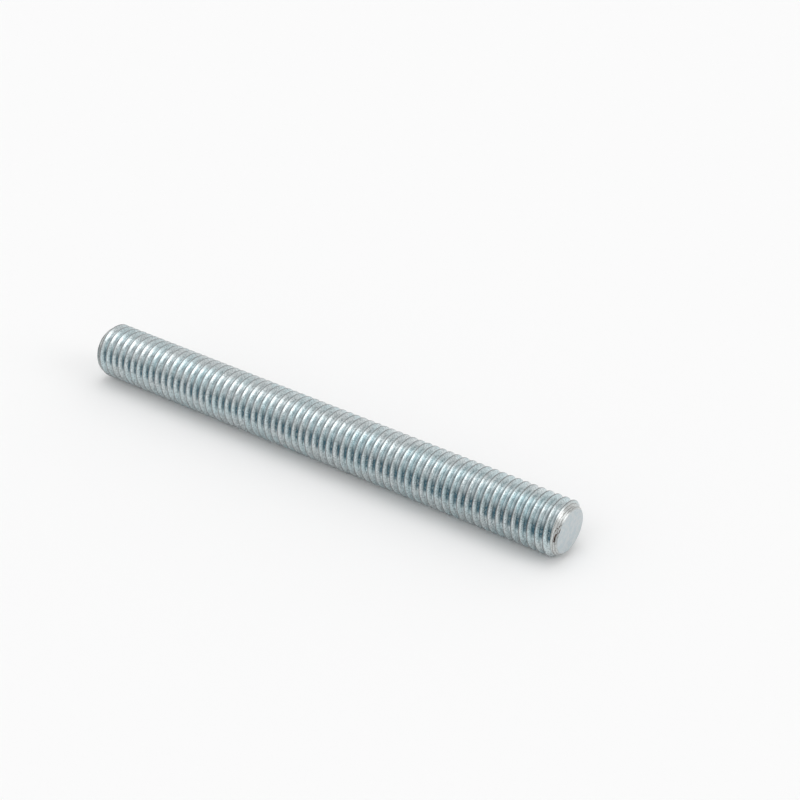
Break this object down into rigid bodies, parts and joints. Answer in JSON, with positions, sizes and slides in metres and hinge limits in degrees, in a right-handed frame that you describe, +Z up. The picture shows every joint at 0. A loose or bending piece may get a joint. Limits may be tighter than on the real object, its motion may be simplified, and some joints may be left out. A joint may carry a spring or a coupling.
{
  "type": "threaded rod",
  "caption": "Straight steel rod with a right-hand metric thread along its whole length and a bevelled flat face at each end.",
  "frame": {"origin": "on the line that the rod rests on, midway between its two end faces", "axes": "+X along the rod's axis, +Z up, with the rod lying on its side on z = 0"},
  "size_m": [0.1, 0.0098, 0.0099],
  "materials": {
    "zinc_plated_steel": "rolled thread, bright zinc plating with a faint blue passivation"
  },
  "bodies": {
    "root": {"threaded_rod": "zinc_plated_steel"}
  },
  "joints": []
}
